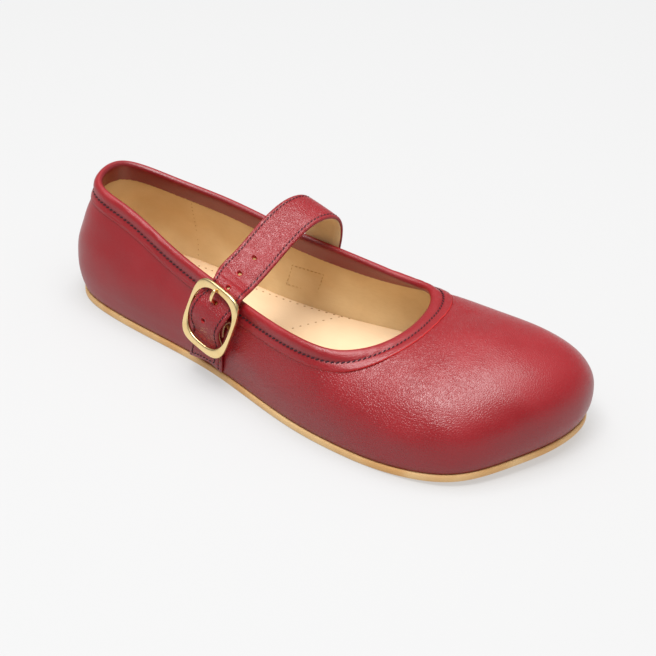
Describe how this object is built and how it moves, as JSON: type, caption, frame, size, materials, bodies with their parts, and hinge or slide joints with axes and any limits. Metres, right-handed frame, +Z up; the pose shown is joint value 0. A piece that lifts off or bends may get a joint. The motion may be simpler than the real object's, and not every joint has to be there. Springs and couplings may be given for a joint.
{
  "type": "mary jane shoe",
  "caption": "Flat right mary jane shoe with a wide rounded toe, thin sole and a buckled instep strap.",
  "frame": {"origin": "on the ground, under the middle of the shoe's bounding box", "axes": "+X towards the toe, +Y towards the inner (big-toe) side, +Z up"},
  "size_m": [0.256, 0.0992, 0.0683],
  "materials": {
    "sole_rubber": "tan, matt, fine tread",
    "insole_leather": "beige, smooth, matt",
    "red_leather": "burgundy red, fine grain, satin",
    "buckle_brass": "pale gold, polished"
  },
  "bodies": {
    "root": {"outsole": "sole_rubber", "insole": "insole_leather", "upper": "red_leather", "strap": "red_leather", "buckle_stay": "red_leather", "buckle_frame": "buckle_brass", "buckle_prong": "buckle_brass"}
  },
  "joints": []
}
